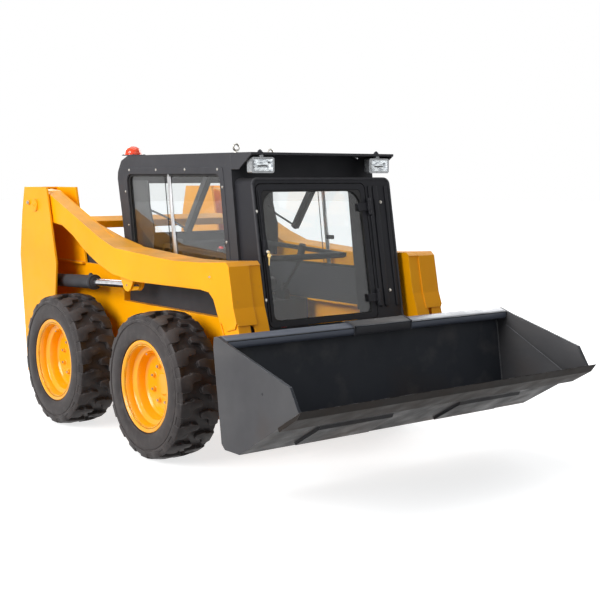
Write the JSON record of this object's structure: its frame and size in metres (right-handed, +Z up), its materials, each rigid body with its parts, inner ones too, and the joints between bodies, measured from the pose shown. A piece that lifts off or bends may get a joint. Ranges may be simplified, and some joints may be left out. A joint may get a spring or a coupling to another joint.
{
  "type": "skid steer loader",
  "caption": "Compact skid steer loader with lift arms, a wide smooth bucket rolled back, a glazed cab with a front door, and equal wheels.",
  "frame": {"origin": "on the ground under the middle of the machine's overall length and width, bucket's edge to rear bumper", "axes": "+X to the machine's left, +Y to its rear, +Z up"},
  "size_m": [1.914, 3.34, 1.65],
  "materials": {
    "paint_yellow": "satin",
    "paint_cab": "satin",
    "paint_dark": "satin",
    "paint_bucket": "satin",
    "rim_yellow": "gloss",
    "tyre": "matte",
    "glass": "gloss",
    "lamp_chrome": "gloss",
    "beacon_orange": "gloss",
    "steel": "satin",
    "steel_edge": "worn",
    "seat_vinyl": "matte",
    "plastic_black": "matte",
    "iron": "matte",
    "lamp_red": "gloss",
    "chrome_rod": "gloss"
  },
  "bodies": {
    "chassis": {"main_frame": "paint_yellow", "tower_left": "paint_yellow", "tower_right": "paint_yellow", "axles": "paint_yellow", "cab_shell": "paint_cab", "cab_front": "paint_cab", "cab_windows": "glass", "visor": "paint_cab", "work_lamps": "lamp_chrome", "beacon": "beacon_orange", "lifting_eyes": "steel", "cab_floor": "paint_cab", "seat": "seat_vinyl", "control_levers": "plastic_black", "lap_bar": "plastic_black", "engine_block": "iron", "hood": "paint_dark", "rear_bumper": "paint_dark", "tail_lamps": "lamp_red"},
    "lift_arms": {"arm_left": "paint_yellow", "arm_right": "paint_yellow", "cross_tube": "paint_yellow"},
    "bucket": {"bucket_shell": "paint_bucket", "cutting_edge": "steel_edge", "bucket_ears": "paint_bucket"},
    "cab_door": {"door_frame": "paint_cab", "door_glass": "glass", "door_lock": "plastic_black"},
    "engine_door": {"rear_door": "paint_dark"},
    "lift_barrel_left": {"lift_barrel_left": "paint_dark"},
    "lift_rod_left": {"lift_rod_left": "chrome_rod"},
    "tilt_barrel_left": {"tilt_barrel_left": "paint_dark"},
    "tilt_rod_left": {"tilt_rod_left": "chrome_rod"},
    "lift_barrel_right": {"lift_barrel_right": "paint_dark"},
    "lift_rod_right": {"lift_rod_right": "chrome_rod"},
    "tilt_barrel_right": {"tilt_barrel_right": "paint_dark"},
    "tilt_rod_right": {"tilt_rod_right": "chrome_rod"},
    "wheel_front_left": {"tyre_front_left": "tyre", "rim_front_left": "rim_yellow"},
    "wheel_front_right": {"tyre_front_right": "tyre", "rim_front_right": "rim_yellow"},
    "wheel_rear_left": {"tyre_rear_left": "tyre", "rim_rear_left": "rim_yellow"},
    "wheel_rear_right": {"tyre_rear_right": "tyre", "rim_rear_right": "rim_yellow"}
  },
  "joints": [
    {"name": "lift", "type": "hinge", "parent": "chassis", "child": "lift_arms", "pos_m": [0, 1.37897, 1.295], "axis": [-1, 0, 0], "range_deg": [0, 58]},
    {"name": "bucket_tilt", "type": "hinge", "parent": "lift_arms", "child": "bucket", "pos_m": [0, -0.89203, 0.42], "axis": [1, 0, 0], "range_deg": [0, 115]},
    {"name": "door_swing", "type": "hinge", "parent": "chassis", "child": "cab_door", "pos_m": [0.29, -0.70275, 1.07113], "axis": [0, 0.1736, 0.9848], "range_deg": [0, 90]},
    {"name": "rear_door_swing", "type": "hinge", "parent": "chassis", "child": "engine_door", "pos_m": [0.478, 1.61997, 0.64], "axis": [0, 0, -1], "range_deg": [0, 95]},
    {"name": "lift_barrel_left_swing", "type": "hinge", "parent": "chassis", "child": "lift_barrel_left", "pos_m": [0.62, 1.40797, 0.82], "axis": [-1, 0, 0], "range_deg": [0, 47.86]},
    {"name": "lift_rod_left_slide", "type": "slide", "parent": "lift_barrel_left", "child": "lift_rod_left", "axis": [0, -0.999, 0.0436], "range_m": [0, 0.4015]},
    {"name": "tilt_barrel_left_swing", "type": "hinge", "parent": "lift_arms", "child": "tilt_barrel_left", "pos_m": [0.595, -0.58703, 0.98], "axis": [-1, 0, 0], "range_deg": [0, 2.22]},
    {"name": "tilt_rod_left_slide", "type": "slide", "parent": "tilt_barrel_left", "child": "tilt_rod_left", "axis": [0, -0.566, -0.8244], "range_m": [0, 0.252]},
    {"name": "lift_barrel_right_swing", "type": "hinge", "parent": "chassis", "child": "lift_barrel_right", "pos_m": [-0.62, 1.40797, 0.82], "axis": [-1, 0, 0], "range_deg": [0, 47.86]},
    {"name": "lift_rod_right_slide", "type": "slide", "parent": "lift_barrel_right", "child": "lift_rod_right", "axis": [0, -0.999, 0.0436], "range_m": [0, 0.4015]},
    {"name": "tilt_barrel_right_swing", "type": "hinge", "parent": "lift_arms", "child": "tilt_barrel_right", "pos_m": [-0.595, -0.58703, 0.98], "axis": [-1, 0, 0], "range_deg": [0, 2.22]},
    {"name": "tilt_rod_right_slide", "type": "slide", "parent": "tilt_barrel_right", "child": "tilt_rod_right", "axis": [0, -0.566, -0.8244], "range_m": [0, 0.252]},
    {"name": "wheel_front_left_spin", "type": "hinge", "parent": "chassis", "child": "wheel_front_left", "pos_m": [0.732, -0.19203, 0.388], "axis": [1, 0, 0], "continuous": true},
    {"name": "wheel_front_right_spin", "type": "hinge", "parent": "chassis", "child": "wheel_front_right", "pos_m": [-0.732, -0.19203, 0.388], "axis": [1, 0, 0], "continuous": true},
    {"name": "wheel_rear_left_spin", "type": "hinge", "parent": "chassis", "child": "wheel_rear_left", "pos_m": [0.732, 0.88497, 0.388], "axis": [1, 0, 0], "continuous": true},
    {"name": "wheel_rear_right_spin", "type": "hinge", "parent": "chassis", "child": "wheel_rear_right", "pos_m": [-0.732, 0.88497, 0.388], "axis": [1, 0, 0], "continuous": true}
  ],
  "couplings": [
    {"joint": "lift_barrel_left_swing", "follows": "lift", "ratio": 0.82512},
    {"joint": "lift_rod_left_slide", "follows": "lift", "m_per_rad": 0.39662},
    {"joint": "tilt_barrel_left_swing", "follows": "bucket_tilt", "ratio": 0.0193},
    {"joint": "tilt_rod_left_slide", "follows": "bucket_tilt", "m_per_rad": 0.1255},
    {"joint": "lift_barrel_right_swing", "follows": "lift", "ratio": 0.82512},
    {"joint": "lift_rod_right_slide", "follows": "lift", "m_per_rad": 0.39662},
    {"joint": "tilt_barrel_right_swing", "follows": "bucket_tilt", "ratio": 0.0193},
    {"joint": "tilt_rod_right_slide", "follows": "bucket_tilt", "m_per_rad": 0.1255}
  ]
}
